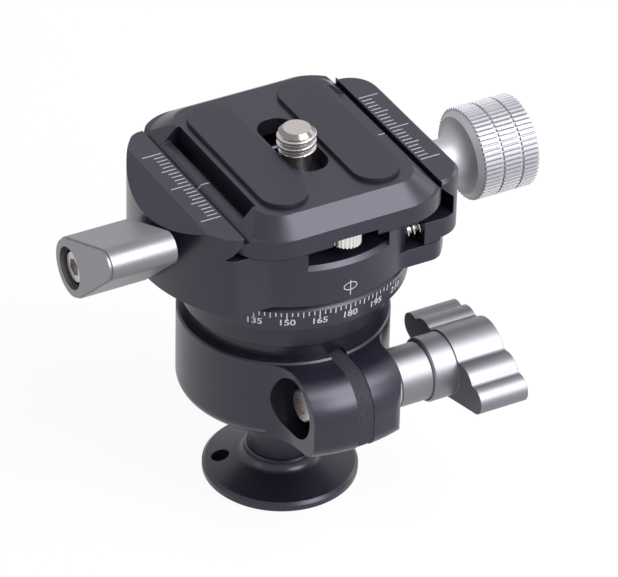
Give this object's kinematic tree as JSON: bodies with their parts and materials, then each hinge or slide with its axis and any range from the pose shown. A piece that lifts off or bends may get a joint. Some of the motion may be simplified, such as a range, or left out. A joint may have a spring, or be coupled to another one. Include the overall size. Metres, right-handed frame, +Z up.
{
  "type": "tripod ball head",
  "caption": "Compact tripod ball head with a side lock knob, a panning dovetail clamp with a screw jaw and a small camera plate in it.",
  "frame": {"origin": "centre of the foot's flat underside, on the axis of its tapped hole", "axes": "+Z up along the pan axis, +X towards the knurled clamp knob, -Y towards the slit and the two ears of the housing"},
  "size_m": [0.0809, 0.0516, 0.0668],
  "materials": {
    "black_anodised": "black anodised, satin",
    "silver_anodised": "bead blasted and clear anodised, satin",
    "steel": "stainless steel, turned",
    "nylon": "smooth",
    "rubber": "matt"
  },
  "bodies": {
    "foot": {"foot_flange": "black_anodised", "foot_thread_insert": "steel", "foot_grub_screw": "steel", "ball_stem": "black_anodised"},
    "cup": {"friction_cup": "nylon"},
    "tilt_carrier": {"spring_plate": "steel"},
    "housing": {"housing": "black_anodised", "ball_liner": "nylon", "slit_strip": "rubber", "lock_washer": "steel", "neck_ring": "black_anodised", "dial_ring": "black_anodised", "pan_post": "steel", "pan_washer": "nylon", "pan_retainer": "steel", "pan_screw": "steel"},
    "lock": {"lock_spindle": "steel", "lock_sleeve": "silver_anodised", "lock_knob": "silver_anodised", "lock_end_washer": "steel", "lock_end_screw": "steel"},
    "clamp": {"clamp_body": "black_anodised", "guide_pin_front": "steel", "guide_pin_rear": "steel", "jaw_spring_front": "steel", "jaw_spring_rear": "steel", "brake_shoe": "nylon"},
    "jaw": {"moving_jaw": "black_anodised"},
    "jaw_screw": {"clamp_screw": "steel", "clamp_knob": "silver_anodised", "knob_washer": "steel"},
    "lever": {"pan_lock_lever": "silver_anodised", "lever_stud": "steel", "lever_screw": "steel", "lever_ring": "black_anodised"},
    "plate": {"camera_plate": "black_anodised", "pad_left": "rubber", "pad_right": "rubber", "stop_screw_front": "steel", "stop_screw_rear": "steel"},
    "screw_carriage": {"screw_clip": "nylon"},
    "screw": {"camera_screw": "steel"},
    "ring": {"d_ring": "steel"}
  },
  "joints": [
    {"name": "ball_turn", "type": "hinge", "parent": "foot", "child": "cup", "pos_m": [0, 0, 0.0256], "axis": [0, 0, 1], "continuous": true},
    {"name": "ball_tilt", "type": "hinge", "parent": "cup", "child": "tilt_carrier", "pos_m": [0, 0, 0.0256], "axis": [1, 0, 0], "range_deg": [-20, 20]},
    {"name": "ball_spin", "type": "hinge", "parent": "tilt_carrier", "child": "housing", "pos_m": [0, 0, 0.0256], "axis": [0, 0, 1], "continuous": true},
    {"name": "lock_knob_turn", "type": "hinge", "parent": "housing", "child": "lock", "pos_m": [0.01, -0.0185, 0.0262], "axis": [1, 0, 0], "range_deg": [0, 270]},
    {"name": "pan", "type": "hinge", "parent": "housing", "child": "clamp", "pos_m": [0, 0, 0.05], "axis": [0, 0, 1], "continuous": true},
    {"name": "lever_turn", "type": "hinge", "parent": "clamp", "child": "lever", "pos_m": [-0.03, 0, 0.0511], "axis": [-1, 0, 0], "range_deg": [0, 120]},
    {"name": "jaw_slide", "type": "slide", "parent": "clamp", "child": "jaw", "axis": [1, 0, 0], "range_m": [0, 0.0035], "deforming": ["jaw_spring_front", "jaw_spring_rear"]},
    {"name": "clamp_knob_turn", "type": "hinge", "parent": "jaw", "child": "jaw_screw", "pos_m": [0.03, 0, 0.0515], "axis": [1, 0, 0], "range_deg": [0, 1260]},
    {"name": "plate_slide", "type": "slide", "parent": "clamp", "child": "plate", "axis": [0, 1, 0], "range_m": [-0.0025, 0.0033]},
    {"name": "camera_screw_slide", "type": "slide", "parent": "plate", "child": "screw_carriage", "axis": [0, 1, 0], "range_m": [-0.0037, 0.0061]},
    {"name": "camera_screw_turn", "type": "hinge", "parent": "screw_carriage", "child": "screw", "pos_m": [0.00085, -0.0016, 0.058], "axis": [0, 0, 1], "continuous": true},
    {"name": "ring_fold", "type": "hinge", "parent": "screw", "child": "ring", "pos_m": [0.00085, -0.0016, 0.0582], "axis": [1, 0, 0], "range_deg": [-6, 0]}
  ],
  "couplings": [
    {"joint": "jaw_slide", "follows": "clamp_knob_turn", "m_per_rad": 0.00015915}
  ]
}
